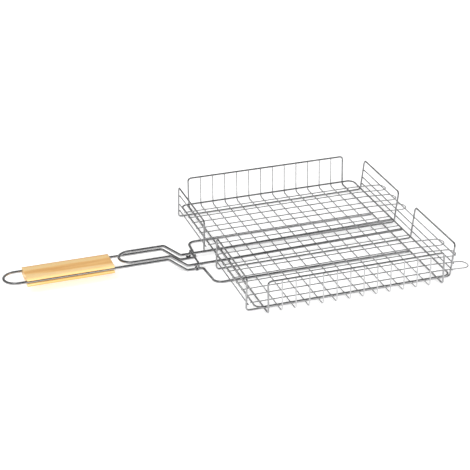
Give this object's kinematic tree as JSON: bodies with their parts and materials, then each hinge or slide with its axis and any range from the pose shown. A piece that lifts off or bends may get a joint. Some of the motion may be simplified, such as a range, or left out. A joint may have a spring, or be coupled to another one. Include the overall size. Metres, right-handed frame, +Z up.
{
  "type": "grill basket",
  "caption": "Square wire grill basket with low walls, a flat wire lid on tongues in a side ladder, and a long wire handle with a wooden grip.",
  "frame": {"origin": "centre of the whole object's footprint, on the surface it stands on", "axes": "-X along the handle to the grip, +X to the lid's tongues, +Y to the rear end wall, +Z up"},
  "size_m": [0.6354, 0.3718, 0.0541],
  "materials": {
    "thin_wire": "bright plated thin wire",
    "ring_wire": "bright plated wire",
    "heavy_wire": "bright plated heavy wire",
    "clip_wire": "bright plated wire",
    "grip_wood": "pale smooth unvarnished wood"
  },
  "bodies": {
    "basket": {"end_wall_ring": "ring_wire", "floor_wire_1": "thin_wire", "floor_wire_2": "thin_wire", "floor_wire_3": "thin_wire", "floor_wire_4": "thin_wire", "floor_wire_5": "thin_wire", "floor_wire_6": "thin_wire", "floor_wire_7": "thin_wire", "floor_wire_8": "thin_wire", "floor_wire_9": "thin_wire", "floor_wire_10": "thin_wire", "floor_wire_11": "thin_wire", "floor_wire_12": "thin_wire", "rear_side_ring": "ring_wire", "front_side_ring": "ring_wire", "hinge_ladder_top": "thin_wire", "hinge_ladder_middle": "thin_wire", "hinge_ladder_bottom": "thin_wire", "rear_left_rung_top": "thin_wire", "rear_left_rung_middle": "thin_wire", "rear_left_rung_bottom": "thin_wire", "front_left_rung_top": "thin_wire", "front_left_rung_middle": "thin_wire", "front_left_rung_bottom": "thin_wire", "basket_handle": "heavy_wire", "grip": "grip_wood"},
    "lid": {"lid_ring": "ring_wire", "tongue_1": "thin_wire", "tongue_2": "thin_wire", "tongue_3": "thin_wire", "tongue_4": "thin_wire", "tongue_5": "thin_wire", "tongue_6": "thin_wire", "lid_middle_wire_1": "thin_wire", "lid_middle_wire_2": "thin_wire", "lid_middle_wire_3": "thin_wire", "lid_handle": "heavy_wire"},
    "clip": {"handle_clip": "clip_wire"}
  },
  "joints": [
    {"name": "lid_hinge", "type": "hinge", "parent": "basket", "child": "lid", "pos_m": [0.28533, 0, 0.0115], "axis": [0, 1, 0], "range_deg": [0, 55]},
    {"name": "clip_slide", "type": "slide", "parent": "lid", "child": "clip", "axis": [-1, 0, 0], "range_m": [0, 0.01]}
  ]
}
